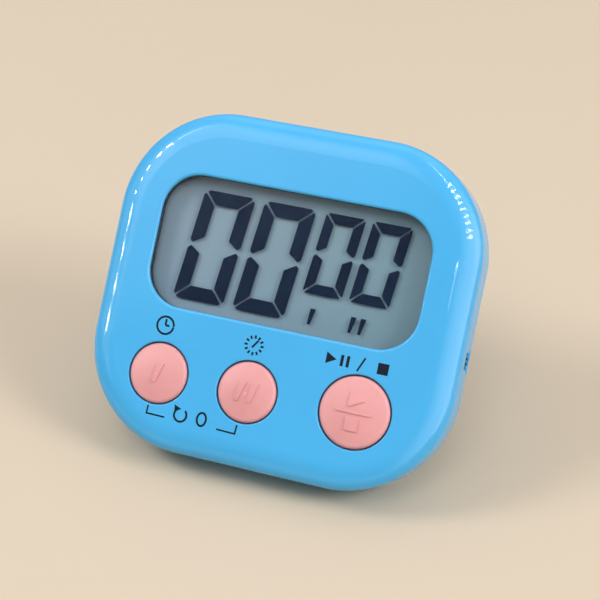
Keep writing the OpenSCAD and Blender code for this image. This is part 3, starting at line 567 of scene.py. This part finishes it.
# ------------------------------------------------------------------ camera
CAMERA_AT = (0.0885, -0.2471, 0.2216)
CAMERA_LOOK = (-0.2661, 0.7625, -0.5898)
camera_data = bpy.data.cameras.new("camera")
camera_data.lens = 97.4
camera_data.sensor_width = 36.0
camera_data.clip_start = 0.01
camera_data.clip_end = 20.0
camera = bpy.data.objects.new("camera", camera_data)
forward = Vector(CAMERA_LOOK).normalized()
right = forward.cross(Vector((0, 0, 1))).normalized()
up = right.cross(forward)
pose = Matrix((right, up, -forward)).transposed().to_4x4()
pose.translation = CAMERA_AT
camera.matrix_world = pose
bpy.context.scene.collection.objects.link(camera)
bpy.context.scene.camera = camera


# Lamps behind slats, as in a light tent, show as dashes along the glossy rim. Each is put where the rim
# mirrors it to the camera: at a place "turn" degrees round the gentle arc by which the face bends away.
ARC = 0.009                # radius of that arc, in metres
START = 0.0322             # where it starts, in metres out from the middle
AWAY = 0.6                 # how far off the lamps are, in metres
BEND_AT = (15.7, 12.7)     # centre of the upper right corner's bend, in millimetres
glints = []


def rim_lamp(way_out, turn, slide, wide, long, glow):
    """A highlight on the rim, its width and length in millimetres. The rim there faces way_out degrees
    round from the right. On a straight side, slide is how far the place lies beyond the bend's end."""
    a, t = math.radians(way_out), math.radians(turn)
    out = Vector((math.cos(a), 0, 0)) + UP * math.sin(a)
    run = Vector((-math.sin(a), 0, 0)) + UP * math.cos(a)
    r = (START + ARC * math.sin(t)) / MM - BEND_AT[0]
    x = math.copysign(BEND_AT[0], math.cos(a)) + r * math.cos(a) - slide * math.sin(a)
    y = BEND_AT[1] + r * math.sin(a) + slide * math.cos(a)
    spot = face(x, y, ARC / MM * (1 - math.cos(t)))
    normal = out * math.sin(t) - IN * math.cos(t)
    view = camera.location - spot
    mirrored = (normal * (2 * normal.dot(view)) - view).normalized()
    bent = 0 if slide else 2 * math.sin(t) / (r * MM)
    size = long * MM * (1 + AWAY * (1 / view.length + bent))
    size_y = wide * MM * (1 + AWAY * (1 / view.length + 2 / ARC))
    name = f"glint_{len(glints)}"
    lamp = softbox(name, spot + mirrored * AWAY, size, glow * math.pi * size * size_y, size_y=size_y)
    side = (run - mirrored * run.dot(mirrored)).normalized()
    lamp.rotation_quaternion = Matrix((side, mirrored.cross(side), mirrored)).transposed().to_quaternion()
    lamp.visible_diffuse = False
    glints.append(lamp)


# Dashes down the left side and round the upper left bend, faint hairlines at both ends of the top, fine
# hatching on the upper right bend, and a streak with a bright end on the right side
for slide, long in ((0.4, 0.9), (3.4, 1.4), (9.4, 1.9), (16.8, 2.0), (23.8, 1.8), (27.4, 0.7), (29.9, 0.9)):
    rim_lamp(180, 14, slide, 0.34, long, 95)
for way_out, long in ((173, 0.6), (164, 0.7), (155, 0.9), (145, 1.2), (136, 1.2)):
    rim_lamp(way_out, 13.5, 0, 0.30, long, 80)
for way_out in range(127, 92, -4):
    rim_lamp(way_out, 14 + (132 - way_out) / 8, 0, 0.12, 0.9, 32 * ((way_out - 84) / 43) ** 2)
for way_out in range(70, 50, -4):
    rim_lamp(way_out, 22.5 - (70 - way_out) / 8, 0, 0.12, 1.1, 28 * ((78 - way_out) / 26) ** 2)
for way_out in range(50, 15, -4):
    rim_lamp(way_out, 20, 0, 0.70, 0.30, 60)
rim_lamp(0, 6.4, 1.2, 0.26, 1.6, 95)
rim_lamp(0, 6.4, -4.2, 0.09, 8.0, 16)

# ------------------------------------------------------------------ surroundings
# The sky is brightest overhead and dimmer behind the camera
world = bpy.data.worlds.new("studio")
world.use_nodes = True
sky = world.node_tree
way = add(sky, "SeparateXYZ", {0: add(sky, "TexCoord").outputs["Generated"]})
overhead = remap(sky, way.outputs["Z"], 0.0, 0.95, 0.15, 0.95)
behind_camera = remap(sky, way.outputs["Y"], -0.9, 0.1, 0.5, 1.0)
glow = math_node(sky, "MULTIPLY", overhead, behind_camera)


def sheen(toward, low, high, strength):
    """A broad soft light round a direction, from the cosine low to the cosine high."""
    near = add(sky, "VectorMath", {0: add(sky, "TexCoord").outputs["Generated"], 1: toward},
               operation="DOT_PRODUCT").outputs["Value"]
    return remap(sky, near, low, high, 0, strength)


# The face shows one sheen along its upper and left sides, and its rim shows the other on the right.
# They only light glossy reflections.
broad = math_node(sky, "ADD", sheen((-0.45, -0.42, 0.79), 0.915, 0.985, 4.0),
                  sheen((0.90, -0.35, 0.25), 0.50, 0.97, 6.2))
broad = math_node(sky, "MULTIPLY", broad, add(sky, "LightPath").outputs["Is Glossy Ray"])
glow = math_node(sky, "ADD", glow, broad)
background = sky.nodes["Background"]
background.inputs["Color"].default_value = (0.98, 0.98, 1.0, 1)
sky.links.new(glow, background.inputs["Strength"])
bpy.context.scene.world = world
bpy.context.scene.view_settings.view_transform = "Standard"
bpy.context.scene.cycles.transparent_max_bounces = 24
